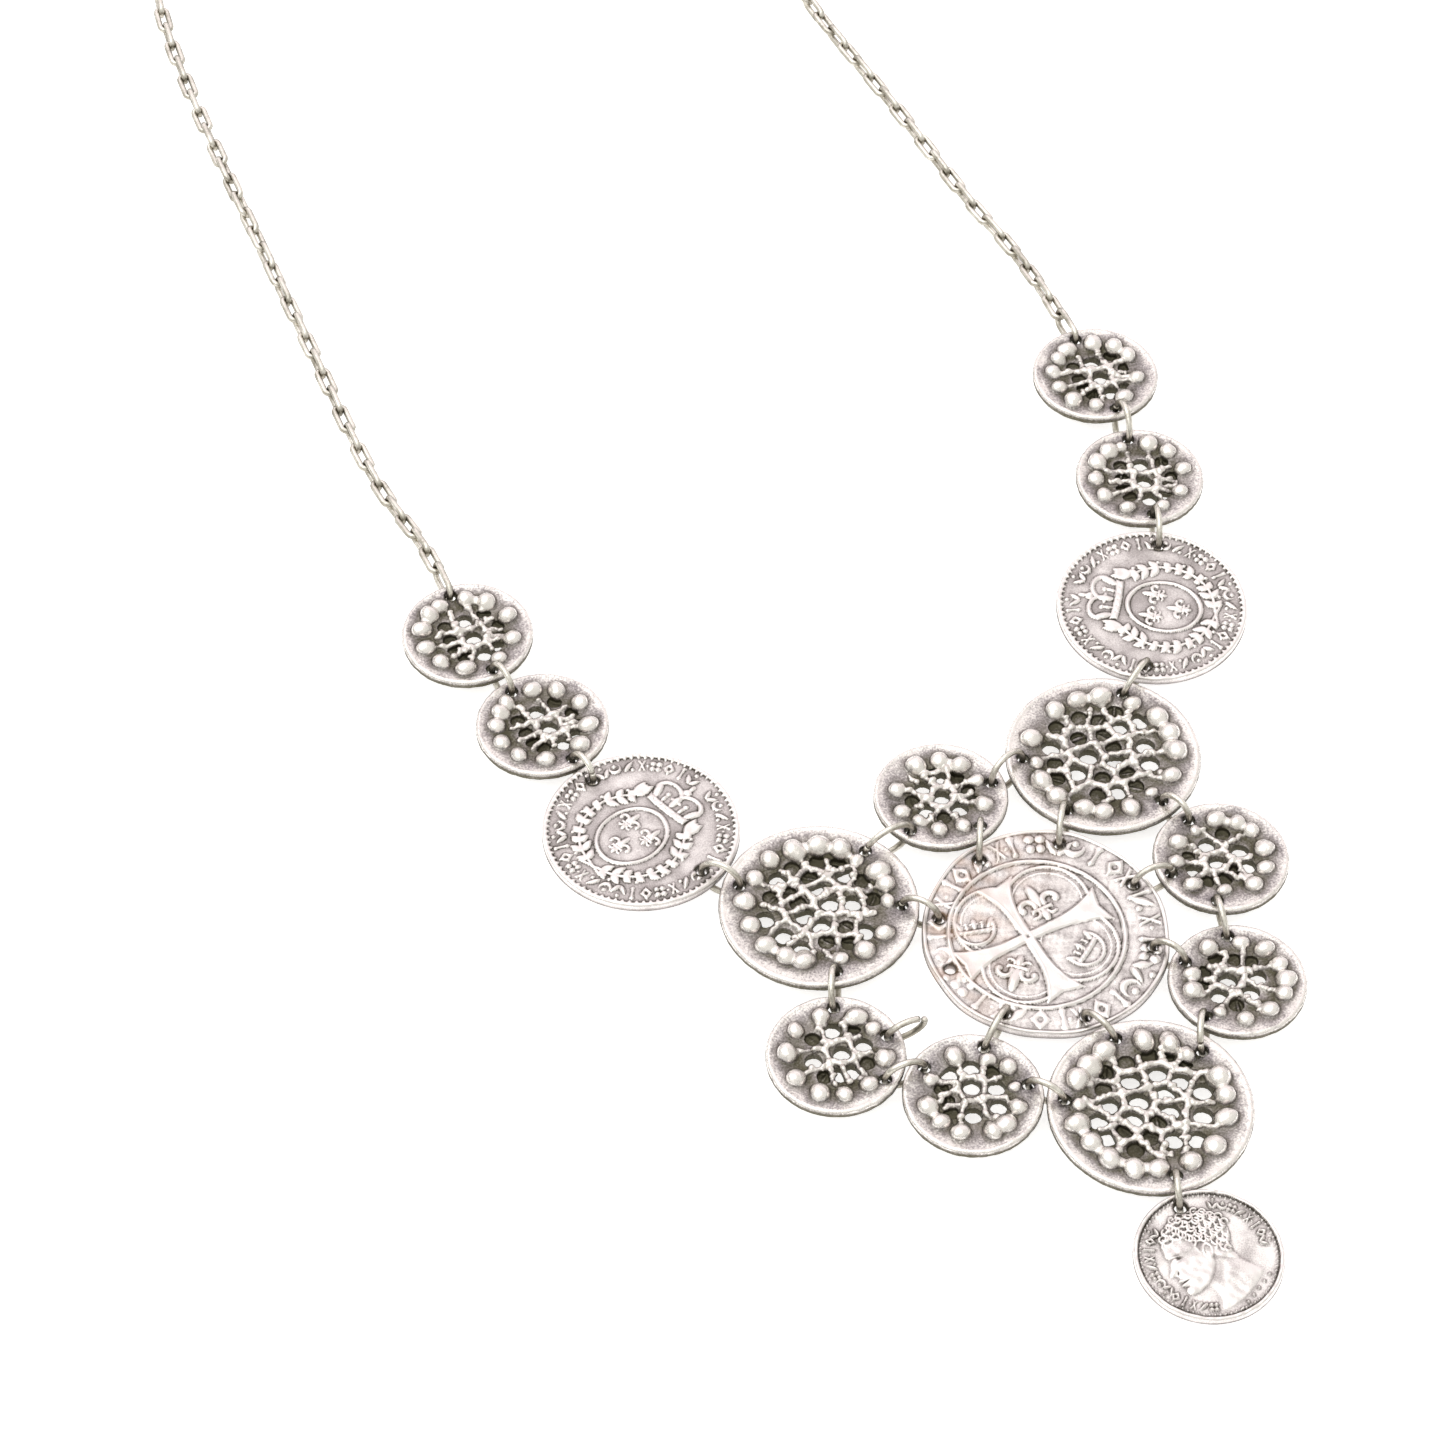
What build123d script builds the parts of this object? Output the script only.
from build123d import *
from collections import namedtuple
from math import acos, asin, atan2, ceil, cos, degrees, hypot, pi, radians, sin, sqrt, tan
import os

# A coin necklace lying flat, in millimetres. The clasp end is toward +Y and the drop coin toward -Y.
# Everything is laid out round the middle of the centre coin, and moved to the resting origin at the end.

# Coins: diameter, thickness, and how far in from the edge a link hole is drilled
centre_coin_diameter = 26.5
centre_coin_thickness = 1.0
centre_coin_inset = 1.9
side_coin_diameter = 21.3
side_coin_thickness = 0.9
side_coin_inset = 2.0
drop_coin_diameter = 15.2
drop_coin_thickness = 0.7
drop_coin_inset = 1.6
coin_edge_round = 0.2
relief_height = 0.16
relief_root = 0.05             # relief starts this far below the face, so that it is one metal with the coin
tooth_count = 60               # round the border of a side coin
branch_pairs = 8               # pairs of leaves on a branch

# Pierced discs: a plate with a ring of round granules and a net of strands
big_disc_diameter = 21.3
big_disc_inset = 1.85
big_granule_diameter = 2.05
small_disc_diameter = 14.6
small_disc_inset = 1.45
small_granule_diameter = 1.7
disc_thickness = 1.05
disc_edge_round = 0.3
strand_width = 0.5
granule_space = 0.95           # between neighbouring granules
granule_clearance = 0.05       # from a granule to a link hole
granule_unevenness = 0.2       # share of its size by which a granule may be smaller
net_sides = 24                 # facets round the outside of a net

# Spaces between neighbours: never less than disc_gap, and up to link_play more
disc_gap = 0.2
link_play = 2.0

# Jump rings
ring_wire = 0.6
ring_rise = 0.35               # the middle of a ring stands this high over the line between its holes
ring_slant = 22                # degrees: the furthest that a hole lets a ring slant through it
hole_clearance = 0.08
open_ring_diameter = 4.9
open_ring_mouth = 38           # degrees of the ring that stand open
open_ring_turn = 20            # degrees from the outer end of the ring up to its mouth
open_ring_lean = 76

# Chain of oval links, and the long links that join it to the discs
link_wire = 0.55
link_width = 2.0
link_inner_length = 3.45
link_gap = 0.22
wire_sides = 6
end_facets = 5                 # round each end of a link
end_step = 180 / end_facets
end_link_width = 2.9
end_link_inner_length = 4.7
end_link_lean = 80
end_link_dip = 4               # degrees that it slopes down from its disc
settle_length = 16             # run of chain over which it comes down to the floor
chain_sway = 40                # degrees of slow twist in the middle of a strand
chain_sway_waves = 0.8         # how many times it sways over a strand
chain_sway_start = 57          # degrees of the wave at which it starts

# Clasp: a plain ring with an eye, and the jump ring that it holds
clasp_ring_diameter = 6.4
clasp_wire = 0.8
clasp_eye_diameter = 2.7
clasp_eye_wire = 0.6
clasp_jump_diameter = 3.8
clasp_jump_lean = 38
clasp_place = 0.5              # how far along the hidden route it lies, from left to right

# Where the coins face and lie
front_direction = -112         # degrees in plan: a tipped disc faces this way
centre_tip = 2.5               # degrees that the centre coin's face tips to the front
centre_turn = 7
orbit_start = 97.9             # degrees in plan of the first disc round the centre coin
left_chain_direction = 89
right_chain_direction = 88

# The chain's route over the floor, from the left disc round the back to the right disc, points chosen by hand
chain_route = (
    (-43.5, 86), (-43.9, 105), (-43.9, 125), (-43.8, 145), (-43.2, 165), (-40.2, 184), (-31.5, 199.5),
    (-17.5, 209), (-1.5, 210.8), (13.5, 204.5), (25.0, 192), (31.4, 175), (33.4, 158), (34.2, 142),
    (36.3, 124), (38.5, 102),
)

Kind = namedtuple("Kind", "diameter thickness inset")
kinds = {
    "centre": Kind(centre_coin_diameter, centre_coin_thickness, centre_coin_inset),
    "side": Kind(side_coin_diameter, side_coin_thickness, side_coin_inset),
    "drop": Kind(drop_coin_diameter, drop_coin_thickness, drop_coin_inset),
    "big": Kind(big_disc_diameter, disc_thickness, big_disc_inset),
    "small": Kind(small_disc_diameter, disc_thickness, small_disc_inset),
}

# Discs round the centre coin, counter-clockwise. Play is the share of link_play between a disc and the
# coin or the next disc; tip is the degrees that its face tips to the front; turn rotates its pattern.
Orbit = namedtuple("Orbit", "name kind play_to_coin play_to_next tip turn")
orbit = (
    Orbit("disc_small_top", "small", 0.12, 0.86, -1.5, 20),
    Orbit("disc_big_left", "big", 0.0, 0.55, 0, 0),
    Orbit("disc_small_low_1", "small", 3.3, 0.0, 1.5, 75),
    Orbit("disc_small_low_2", "small", 0.74, 0.0, 3, 140),
    Orbit("disc_big_bottom", "big", 0.0, 0.25, 0.5, 118),
    Orbit("disc_small_side_2", "small", 0.0, 0.7, -2, 205),
    Orbit("disc_small_side_1", "small", 0.4, 0.11, 0, 262),
    Orbit("disc_big_right", "big", 0.46, 0.28, 0.5, 233),
)

# Discs and coins of the arms and the drop, each held by the one before it
Arm = namedtuple("Arm", "name kind held_by direction play tip turn")
arms = (
    Arm("coin_left", "side", "disc_big_left", 129.7, 0.0, -2, 23),
    Arm("disc_small_left_2", "small", "coin_left", 105, 0.0, -1.5, 310),
    Arm("disc_small_left_1", "small", "disc_small_left_2", 101.5, 0.4, 1, 50),
    Arm("coin_right", "side", "disc_big_right", 50.7, 0.38, 2, 147),
    Arm("disc_small_right_2", "small", "coin_right", 68.5, 0.6, -0.5, 170),
    Arm("disc_small_right_1", "small", "disc_small_right_2", 82.6, 0.94, 0.5, 100),
    Arm("coin_drop", "drop", "disc_big_bottom", -97.3, 0.05, 2.5, 107),
)

# Jump rings: the two pieces that each one joins, how far each one's hole is swung off the line between
# their middles, in degrees counter-clockwise, and the ring's lean in degrees from lying flat
Link = namedtuple("Link", "one other swing other_swing lean")
links = (
    Link("disc_small_left_1", "disc_small_left_2", -4, 3, 94),
    Link("disc_small_left_2", "coin_left", -2, 1, 96),
    Link("coin_left", "disc_big_left", -13, 11, 92),
    Link("disc_big_left", "disc_small_top", 7, 7, 80),
    Link("disc_big_left", "coin_centre", 8, 0, 91),
    Link("disc_big_left", "disc_small_low_1", 7, -3, 81),
    Link("disc_small_low_1", "disc_small_low_2", -12, -14, 84),
    Link("coin_centre", "disc_small_low_2", -2, 9, 97),
    Link("disc_small_low_2", "disc_big_bottom", 16, 0, 81),
    Link("coin_centre", "disc_big_bottom", -5, -3, 82),
    Link("disc_small_side_2", "disc_big_bottom", -6, -8, 79),
    Link("coin_centre", "disc_small_side_2", 8, -7, 90),
    Link("disc_small_side_1", "disc_small_side_2", -10, 4, 81),
    Link("coin_centre", "disc_small_side_1", 5, -5, 88),
    Link("disc_big_right", "disc_small_side_1", 3, -8, 93),
    Link("disc_big_right", "coin_centre", -12, 7, 83),
    Link("disc_small_top", "disc_big_right", 0, -14, 94),
    Link("disc_small_top", "coin_centre", 15, 6, 88),
    Link("coin_right", "disc_big_right", 9, 0, 101),
    Link("disc_small_right_2", "coin_right", 11, -9, 92),
    Link("disc_small_right_1", "disc_small_right_2", 6, -5, 96),
    Link("disc_big_bottom", "coin_drop", -1, 10, 83),
)

# The link that has come off the centre coin: the swings of the vacant hole and of its open ring's hole
vacant_swing = -10
open_ring_swing = -11

# Gaps of the nets: the middle of each gap as a share of the net's radius, and its direction in degrees
net_share = {"big": 0.6, "small": 0.565}
granule_ring_share = {"big": 0.735, "small": 0.685}
small_net = ((0.10, 30), (0.66, 8), (0.70, 62), (0.62, 112), (0.72, 158), (0.64, 214), (0.70, 262), (0.66, 312))
big_net = (
    (0.06, 200), (0.42, 24), (0.38, 98), (0.44, 165), (0.38, 232), (0.44, 300),
    (0.82, 2), (0.78, 38), (0.84, 74), (0.78, 110), (0.82, 146), (0.80, 184), (0.84, 220), (0.78, 254),
    (0.82, 290), (0.80, 327),
)


def heading(angle):
    """The horizontal unit vector at an angle in degrees."""
    return Vector(cos(radians(angle)), sin(radians(angle)), 0)


def spacing(kind, other, play):
    return (kinds[kind].diameter + kinds[other].diameter) / 2 + disc_gap + play * link_play


def orbit_turns(spread):
    """The angle from each disc round the centre coin to the next, with the coin's spaces widened by spread."""
    turns = []
    for disc, following in zip(orbit, orbit[1:] + orbit[:1]):
        near = spacing("centre", disc.kind, disc.play_to_coin) + spread
        far = spacing("centre", following.kind, following.play_to_coin) + spread
        apart = spacing(disc.kind, following.kind, disc.play_to_next)
        turns.append(degrees(acos((near ** 2 + far ** 2 - apart ** 2) / (2 * near * far))))
    return turns


def lay_out():
    """The plan position of every disc and coin."""
    spread = 0.0
    spread_step = disc_gap / 20
    while sum(orbit_turns(spread)) > 360:
        spread += spread_step
    turns = orbit_turns(spread)
    places = {"coin_centre": Vector(0, 0, 0)}
    direction = orbit_start
    for disc, turn in zip(orbit, turns):
        places[disc.name] = heading(direction) * (spacing("centre", disc.kind, disc.play_to_coin) + spread)
        direction += turn * 360 / sum(turns)
    kind_of = {disc.name: disc.kind for disc in orbit + arms}
    for disc in arms:
        reach = spacing(kind_of[disc.held_by], disc.kind, disc.play)
        places[disc.name] = places[disc.held_by] + heading(disc.direction) * reach
    return places


def disc_plane(place, tip):
    """The middle plane of a disc whose face tips to the front."""
    normal = Vector(0, 0, 1) * cos(radians(tip)) + heading(front_direction) * sin(radians(tip))
    return Plane(origin=place, x_dir=Vector(0, 1, 0).cross(normal).normalized(), z_dir=normal)


def hole_at(name, toward, swing):
    """The middle of the link hole that a disc has on the side of a point, or swung off it by an angle."""
    plane = planes[name]
    local = plane.to_local_coords(toward)
    way = heading(degrees(atan2(local.Y, local.X)) + swing)
    reach = kind_of[name].diameter / 2 - kind_of[name].inset
    return plane.from_local_coords(way * reach)


def drill_radius():
    """One drill for every link hole: the thickest coin lets a ring slant through it."""
    slant = radians(ring_slant)
    half = max(kind.thickness for kind in kinds.values()) / 2 + relief_height
    return ring_wire / 2 / cos(slant) + half * tan(slant) + hole_clearance


def upright_plane(middle, along, lean):
    """The plane of a ring or link that lies along a direction and leans by an angle from lying flat."""
    side = along.cross(Vector(0, 0, 1)).normalized()
    rise = side.cross(along).normalized()
    across = side * cos(radians(lean)) + rise * sin(radians(lean))
    return Plane(origin=middle, x_dir=along, z_dir=along.cross(across)), across


def jump_ring_frame(hole, other_hole, lean):
    """The plane and mean radius of a ring through two holes."""
    chord = other_hole - hole
    plane, across = upright_plane((hole + other_hole) / 2, chord.normalized(), lean)
    plane.origin = plane.origin + across * ring_rise
    return plane, hypot(chord.length / 2, ring_rise)


def net_gaps(chart, radius, turn):
    """Outlines of the gaps: each is nearer to its own middle than to any other, less half a strand."""
    middles = [heading(angle + turn) * share * radius for share, angle in chart]
    outlines = []
    for middle in middles:
        outline = [heading(turn + step * 360 / net_sides) * radius for step in range(net_sides)]
        for other in middles:
            if other is middle:
                continue
            away = (other - middle).normalized()
            limit = (other - middle).length / 2 - strand_width / 2
            outline = clipped(outline, middle, away, limit)
        outlines.append(outline)
    return outlines


def clipped(outline, middle, away, limit):
    """The part of an outline that reaches no further than a limit from a point in one direction."""
    kept = []
    for here, following in zip(outline, outline[1:] + outline[:1]):
        past = (here - middle).dot(away) - limit
        next_past = (following - middle).dot(away) - limit
        if past <= 0:
            kept.append(here)
        if past * next_past < 0:
            kept.append(here + (following - here) * (past / (past - next_past)))
    return kept


def granule_angles(ring_radius, diameter, hole_angles, hole_reach):
    """Directions of granules spread evenly over each stretch between two link holes."""
    nearest = diameter / 2 + drill_radius() + granule_clearance
    wall = (nearest ** 2 - (hole_reach - ring_radius) ** 2) / (4 * hole_reach * ring_radius)
    margin = degrees(2 * asin(sqrt(max(wall, 0))))
    step = degrees((diameter + granule_space) / ring_radius)
    angles = []
    marks = sorted(angle % 360 for angle in hole_angles)
    for mark, following in zip(marks, marks[1:] + [marks[0] + 360]):
        first = mark + margin
        last = following - margin
        if last < first:
            continue
        count = max(1, round((last - first) / step) + 1)
        for index in range(count):
            share = index / (count - 1) if count > 1 else 0.5
            angles.append(first + (last - first) * share)
    return angles


def drilled(body, plane, holes, thickness):
    """A disc or coin with its link holes, the holes being given in the necklace's own frame."""
    for hole in holes:
        local = plane.to_local_coords(hole)
        body = body - Pos(local.X, local.Y, 0) * Cylinder(drill_radius(), thickness * 4)
    return body


def rounded_plate(diameter, thickness, edge_round):
    plate = Cylinder(diameter / 2, thickness)
    return fillet(plate.edges(), min(edge_round, thickness * 0.45))


def pierced_disc(kind_name, chart, granule_diameter, plane, holes, turn):
    kind = kinds[kind_name]
    radius = kind.diameter / 2
    plate = rounded_plate(kind.diameter, kind.thickness, disc_edge_round)
    gaps = [
        extrude(Face(Wire.make_polygon([(p.X, p.Y, -kind.thickness) for p in outline])), kind.thickness * 2)
        for outline in net_gaps(chart, radius * net_share[kind_name], turn)
    ]
    plate = plate - gaps
    ring_radius = radius * granule_ring_share[kind_name]
    local_holes = [plane.to_local_coords(hole) for hole in holes]
    hole_angles = [degrees(atan2(hole.Y, hole.X)) for hole in local_holes]
    angles = granule_angles(ring_radius, granule_diameter, hole_angles, radius - kind.inset)
    granules = [
        Pos(*(heading(angle) * ring_radius)) * Pos(0, 0, kind.thickness / 2)
        * Sphere(granule_diameter / 2 * (1 - granule_unevenness * sin(index * 2.4) ** 2))
        for index, angle in enumerate(angles)
    ]
    return drilled(plate + granules, plane, holes, kind.thickness)


def raised(plate, sketch, thickness, height):
    """A plate with the shapes of a sketch raised on its face."""
    face = Plane.XY.offset(thickness / 2 - relief_root)
    return plate + extrude(face * sketch, relief_root + height)


def band(outer, inner):
    return Circle(outer) - Circle(inner)


def lis(size):
    """A three-petalled lis, its point up."""
    petal = Pos(0, size * 0.12) * Ellipse(size * 0.15, size * 0.4)
    side = Pos(size * 0.27, size * 0.02) * Rot(0, 0, -38) * Ellipse(size * 0.12, size * 0.27)
    foot = Pos(0, -size * 0.34) * Ellipse(size * 0.11, size * 0.2)
    bar = Pos(0, -size * 0.2) * Rectangle(size * 0.6, size * 0.13)
    return petal + side + mirror(side, Plane.YZ) + foot + bar


def crown(width):
    """An open crown: a band, five points and their pearls."""
    height = width * 0.42
    points = [(-width / 2, -height / 2), (width / 2, -height / 2), (width * 0.56, height * 0.3)]
    for step in range(4, -4, -1):
        depth = height * (-0.1 if step % 2 else 0.42)
        points.append((width * 0.125 * (step - 0.5), depth))
    points.append((-width * 0.56, height * 0.3))
    sketch = make_face(Polyline(*points, close=True))
    for step in (-2, -1, 0, 1, 2):
        sketch += Pos(step * width * 0.27, height * 0.55) * Circle(width * 0.07)
    return sketch


def leafy_branch(radius):
    """The right-hand branch: leaves in pairs along an arc from the foot of a coin up beside its crown."""
    sketch = Sketch()
    for step in range(branch_pairs):
        angle = -82 + step * 112 / (branch_pairs - 1)
        spot = heading(angle) * radius * 0.58
        for lean in (-38, 38):
            leaf = Pos(radius * 0.085, 0) * Ellipse(radius * 0.085, radius * 0.032)
            sketch += Pos(spot.X, spot.Y) * Rot(0, 0, angle + 90 + lean) * leaf
    return sketch


def marks_round(radius, reach, count, skip):
    """A band of plain ornament: bars and dots in turn, left out where skip says so."""
    sketch = Sketch()
    for index in range(count):
        angle = 360 * index / count
        if skip(angle):
            continue
        tall = index % 3 != 2
        mark = Rectangle(radius * 0.1, radius * 0.028) if tall else Circle(radius * 0.028)
        sketch += Rot(0, 0, angle) * Pos(radius * reach, 0) * mark
    return sketch


def side_coin(plane, holes, turn):
    kind = kinds["side"]
    radius = kind.diameter / 2
    plate = rounded_plate(kind.diameter, kind.thickness, coin_edge_round)
    rim_face = make_face(Polyline(*[
        tuple(heading(step * 180 / tooth_count) * radius * (0.93 if step % 2 else 0.9))[:2]
        for step in range(tooth_count * 2)
    ], close=True))
    border = Circle(radius - coin_edge_round) - rim_face
    shield_place = Pos(0, -radius * 0.147)
    shield = shield_place * (Ellipse(radius * 0.335, radius * 0.41) - Ellipse(radius * 0.295, radius * 0.37))
    design = shield + Pos(0, radius * 0.52) * crown(radius * 0.62)
    for x_share, y_share in ((-0.13, 0.1), (0.13, 0.1), (0, -0.17)):
        design += shield_place * Pos(radius * x_share, radius * y_share) * lis(radius * 0.24)
    branch = leafy_branch(radius)
    design += branch
    design += mirror(branch, Plane.YZ)
    design += marks_round(radius, 0.82, 40, lambda angle: 62 < angle < 118)
    plate = raised(plate, Rot(0, 0, turn - 90) * (design + border), kind.thickness, relief_height)
    return drilled(plate, plane, holes, kind.thickness)


def centre_coin(plane, holes, turn):
    kind = kinds["centre"]
    radius = kind.diameter / 2
    plate = rounded_plate(kind.diameter, kind.thickness, coin_edge_round)
    border = band(radius - coin_edge_round, radius * 0.955)
    line = band(radius * 0.705, radius * 0.672)
    arm = make_face(Polyline(
        (0, radius * 0.045), (radius * 0.42, radius * 0.06), (radius * 0.6, radius * 0.17),
        (radius * 0.6, -radius * 0.17), (radius * 0.42, -radius * 0.06), (0, -radius * 0.045), close=True
    ))
    lobes = [Rot(0, 0, 45 + 90 * side) * Pos(radius * 0.27, 0) for side in range(4)]
    outer = lobes[0] * Circle(radius * 0.375)
    inner = lobes[0] * Circle(radius * 0.345)
    for lobe in lobes[1:]:
        outer += lobe * Circle(radius * 0.375)
        inner += lobe * Circle(radius * 0.345)
    arms_sketch = arm
    for side in (1, 2, 3):
        arms_sketch += Rot(0, 0, 90 * side) * arm
    cross = (outer - inner) + arms_sketch
    design = border + line + cross
    for side in range(4):
        figure = lis(radius * 0.27) if side % 2 == 0 else crown(radius * 0.2)
        design += Rot(0, 0, 45 + 90 * side) * Pos(radius * 0.38, 0) * Rot(0, 0, -90) * figure
    design += marks_round(radius, 0.82, 34, lambda angle: False)
    plate = raised(plate, Rot(0, 0, turn) * design, kind.thickness, relief_height)
    return drilled(plate, plane, holes, kind.thickness)


# The drop coin's head in profile, as shares of the coin's radius: an imagined face
head_outline = (
    (0.05, 0.62), (-0.2, 0.54), (-0.32, 0.36), (-0.35, 0.2), (-0.45, 0.03), (-0.38, -0.03), (-0.4, -0.13),
    (-0.38, -0.3), (-0.28, -0.37), (-0.1, -0.36), (-0.08, -0.5), (-0.16, -0.66), (0.1, -0.64), (0.34, -0.5),
    (0.22, -0.3), (0.26, -0.1), (0.42, 0.14), (0.42, 0.38), (0.28, 0.56),
)


def drop_coin(plane, holes, turn):
    kind = kinds["drop"]
    radius = kind.diameter / 2
    plate = rounded_plate(kind.diameter, kind.thickness, coin_edge_round)
    border = band(radius - coin_edge_round, radius * 0.935)
    line = band(radius * 0.905, radius * 0.885)
    head = make_face(Polyline(*[(x * radius, y * radius) for x, y in head_outline], close=True))
    marks = marks_round(radius, 0.77, 34, lambda angle: 70 < angle < 110 or 230 < angle < 325)
    plate = raised(plate, Rot(0, 0, turn - 90) * (border + line + head + marks), kind.thickness, relief_height)
    return drilled(plate, plane, holes, kind.thickness)


def wire_link(inner_length, width, wire):
    """One oval link of faceted wire, its length along X and its opening along Z."""
    end_radius = (width - wire) / 2
    half_run = (inner_length + wire) / 2 - end_radius * cos(radians(end_step / 2))
    spots = []
    for side in (1, -1):
        for index in range(end_facets + 1):
            angle = -90 + index * end_step
            spots.append(Vector(side * (half_run + end_radius * cos(radians(angle))),
                                side * end_radius * sin(radians(angle)), 0))
    sections = []
    for before, here, after in zip(spots[-1:] + spots[:-1], spots, spots[1:] + spots[:1]):
        coming = (here - before).normalized()
        going = (after - here).normalized()
        along = (coming + going).normalized()
        outward = along.cross(Vector(0, 0, 1))
        widen = 1 / coming.dot(along)
        sections.append([
            here + outward * (wire / 2 * cos(2 * pi * step / wire_sides) * widen)
            + Vector(0, 0, 1) * (wire / 2 * sin(2 * pi * step / wire_sides))
            for step in range(wire_sides)
        ])
    faces = []
    for section, following in zip(sections, sections[1:] + sections[:1]):
        for step in range(wire_sides):
            beside = (step + 1) % wire_sides
            corners = [section[step], section[beside], following[beside], following[step]]
            faces.append(Face(Wire.make_polygon(corners, close=True)))
    return Solid(Shell(faces))


def bite(wire, other_wire):
    """How far one link's end reaches past another's, from the middle of one wire to the middle of the other."""
    return (wire + other_wire) / 2 + link_gap


def ring_solid(plane, radius, wire):
    return plane.location * Torus(radius, wire / 2)


# Places, planes and holes
places = lay_out()
kind_of = {"coin_centre": kinds["centre"]}
kind_of.update({disc.name: kinds[disc.kind] for disc in orbit + arms})
planes = {"coin_centre": disc_plane(places["coin_centre"], centre_tip)}
planes.update({disc.name: disc_plane(places[disc.name], disc.tip) for disc in orbit + arms})
holes = {name: [] for name in planes}
rings = {}
for link in links:
    hole = hole_at(link.one, places[link.other], link.swing)
    other_hole = hole_at(link.other, places[link.one], link.other_swing)
    holes[link.one].append(hole)
    holes[link.other].append(other_hole)
    name = "ring_" + link.one.removeprefix("disc_") + "_to_" + link.other.removeprefix("disc_")
    rings[name] = jump_ring_frame(hole, other_hole, link.lean)

# The vacant hole of the centre coin, and the open ring that hangs on the low disc
holes["coin_centre"].append(hole_at("coin_centre", places["disc_small_low_1"], vacant_swing))
open_hole = hole_at("disc_small_low_1", places["coin_centre"], open_ring_swing)
holes["disc_small_low_1"].append(open_hole)
open_ring_radius = (open_ring_diameter - ring_wire) / 2
open_way = (open_hole - places["disc_small_low_1"]).normalized()
open_reach = sqrt(open_ring_radius ** 2 - ring_rise ** 2)
open_plane, open_across = upright_plane(open_hole + open_way * open_reach, open_way, open_ring_lean)
open_plane.origin = open_plane.origin + open_across * ring_rise

# The floor is where the lowest ring comes to rest
floor_height = min(
    plane.origin.Z - radius * sqrt(1 - plane.z_dir.Z ** 2) - ring_wire / 2 for plane, radius in rings.values()
)
chain_height = floor_height + link_width / 2

# The long links that join the chain to the top discs
end_link_mean = end_link_inner_length + link_wire


def end_link_frame(disc_name, direction):
    """The plane of an end link, and the point where the first chain link's near end lies in it."""
    hole = hole_at(disc_name, places[disc_name] + heading(direction) * kind_of[disc_name].diameter, 0)
    holes[disc_name].append(hole)
    dip = radians(end_link_dip)
    along = heading(direction) * cos(dip) - Vector(0, 0, 1) * sin(dip)
    plane, _ = upright_plane(hole + along * (end_link_mean / 2), along, end_link_lean)
    return plane, hole + along * (end_link_mean - bite(link_wire, link_wire))


left_plane, left_start = end_link_frame("disc_small_left_1", left_chain_direction)
right_plane, right_start = end_link_frame("disc_small_right_1", right_chain_direction)

# The route from one end link to the other, in plan; its height follows from the distance to either end
flat_points = [left_start] + [Vector(x, y, 0) for x, y in chain_route] + [right_start]
route_ends = [heading(left_chain_direction), heading(right_chain_direction) * -1]
route = Spline(*[Vector(point.X, point.Y, 0) for point in flat_points], tangents=route_ends)
route_length = route.length
clasp_jump_radius = (clasp_jump_diameter - link_wire) / 2
clasp_eye_radius = (clasp_eye_diameter - clasp_eye_wire) / 2
clasp_radius = (clasp_ring_diameter - clasp_wire) / 2
clasp_height = floor_height + clasp_jump_radius * sin(radians(clasp_jump_lean)) + link_wire / 2
clasp_length = (
    2 * (clasp_eye_radius + clasp_radius + clasp_jump_radius)
    - bite(link_wire, clasp_eye_wire) - bite(clasp_wire, link_wire) - bite(link_wire, link_wire)
)
clasp_start = route_length * clasp_place - clasp_length / 2


def fade(distance):
    """From 1 at no distance to 0 at settle_length, smoothly."""
    share = min(max(distance / settle_length, 0), 1)
    return 1 - share * share * (3 - 2 * share)


def route_point(distance):
    flat = route.position_at(distance, position_mode=PositionMode.LENGTH)
    from_clasp = max(0, abs(distance - clasp_start - clasp_length / 2) - clasp_length / 2)
    rise = (left_start.Z - chain_height) * fade(distance)
    rise += (right_start.Z - chain_height) * fade(route_length - distance)
    rise += (clasp_height - chain_height) * fade(from_clasp)
    return Vector(flat.X, flat.Y, chain_height + rise)


def strand(start, finish, first_lean, last_lean):
    """Links from a disc to the clasp, each hooked through the one before it."""
    way = 1 if finish > start else -1
    mean_length = link_inner_length + link_wire
    length = abs(finish - start)
    count = ceil((length - mean_length) / (link_inner_length - link_gap)) + 1
    pitch = (length - mean_length) / (count - 1)
    slow_turn = (last_lean - first_lean - 90 * (count - 1) + 90) % 180 - 90
    pattern = wire_link(link_inner_length, link_width, link_wire)
    solids = []
    for index in range(count):
        near = route_point(start + way * index * pitch)
        far = route_point(start + way * (index * pitch + mean_length))
        share = index / (count - 1)
        wave = sin(radians(360 * chain_sway_waves * share + chain_sway_start))
        lean = first_lean + 90 * index + slow_turn * share + chain_sway * sin(pi * share) * wave
        plane, _ = upright_plane((near + far) / 2, (far - near).normalized(), lean)
        solids.append(plane.location * pattern)
    return Compound(solids), count, pitch


left_strand, left_count, left_pitch = strand(0, clasp_start, end_link_lean - 90, 90)
right_strand, right_count, right_pitch = strand(
    route_length, clasp_start + clasp_length, end_link_lean - 90, clasp_jump_lean - 90
)

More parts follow.
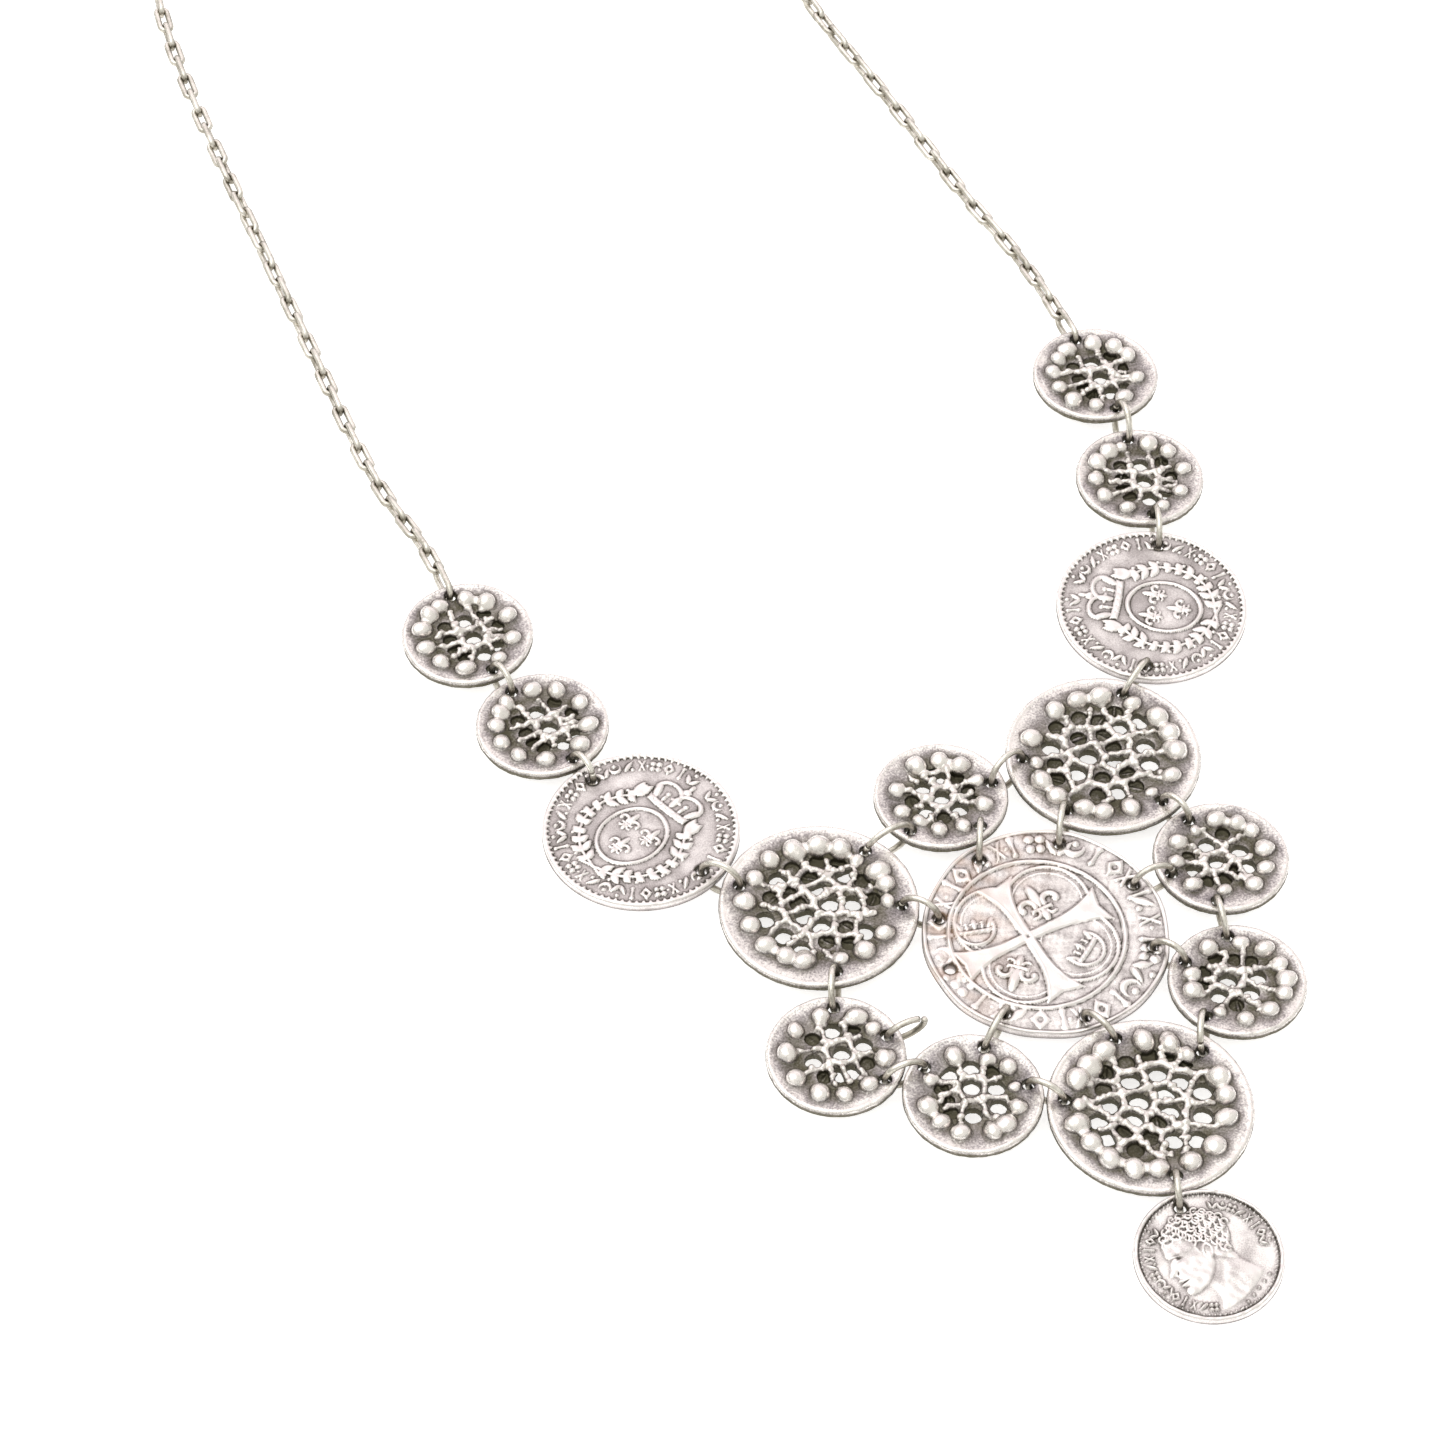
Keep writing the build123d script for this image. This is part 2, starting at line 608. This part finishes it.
# The clasp lies along the route between the two strands
clasp_left = route_point(clasp_start)
clasp_right = route_point(clasp_start + clasp_length)
clasp_way = (clasp_right - clasp_left).normalized()
eye_middle = clasp_left + clasp_way * (clasp_eye_radius - bite(link_wire, clasp_eye_wire))
ring_middle = eye_middle + clasp_way * (clasp_eye_radius + clasp_radius)
jump_middle = ring_middle + clasp_way * (clasp_radius + clasp_jump_radius - bite(clasp_wire, link_wire))
jump_plane, _ = upright_plane(jump_middle, clasp_way, 180 - clasp_jump_lean)

# Every piece by name
pieces = {
    "coin_centre": planes["coin_centre"].location
    * centre_coin(planes["coin_centre"], holes["coin_centre"], centre_turn),
    "chain_left": left_strand,
    "chain_right": right_strand,
    "end_link_left": left_plane.location * wire_link(end_link_inner_length, end_link_width, link_wire),
    "end_link_right": right_plane.location * wire_link(end_link_inner_length, end_link_width, link_wire),
    "clasp": Pos(*eye_middle) * Torus(clasp_eye_radius, clasp_eye_wire / 2)
    + Pos(*ring_middle) * Torus(clasp_radius, clasp_wire / 2),
    "clasp_ring": ring_solid(jump_plane, clasp_jump_radius, link_wire),
}
for disc in orbit + arms:
    plane = planes[disc.name]
    if disc.kind == "small":
        body = pierced_disc("small", small_net, small_granule_diameter, plane, holes[disc.name], disc.turn)
    elif disc.kind == "big":
        body = pierced_disc("big", big_net, big_granule_diameter, plane, holes[disc.name], disc.turn)
    elif disc.kind == "side":
        body = side_coin(plane, holes[disc.name], disc.turn)
    else:
        body = drop_coin(plane, holes[disc.name], disc.turn)
    pieces[disc.name] = plane.location * body
for name, (plane, radius) in rings.items():
    pieces[name] = ring_solid(plane, radius, ring_wire)
open_arc = Torus(open_ring_radius, ring_wire / 2, major_angle=360 - open_ring_mouth)
pieces["ring_open"] = open_plane.location * Rot(0, 0, open_ring_turn + open_ring_mouth) * open_arc

# The resting origin: the middle of the whole necklace in plan, on the floor
boxes = [shape.bounding_box() for shape in pieces.values()]
low = [min(tuple(box.min)[axis] for box in boxes) for axis in range(3)]
high = [max(tuple(box.max)[axis] for box in boxes) for axis in range(3)]
origin = Vector((low[0] + high[0]) / 2, (low[1] + high[1]) / 2, low[2])
os.makedirs("parts", exist_ok=True)
volume = 0
for name, shape in pieces.items():
    moved = shape.moved(Location(origin * -1))
    volume += moved.volume
    export_step(moved, f"parts/{name}.step")

print("box", low, high, "volume", volume, "route", route_length, "links", left_count, right_count)
print("pitch", left_pitch, right_pitch, "origin", origin, "floor", floor_height)
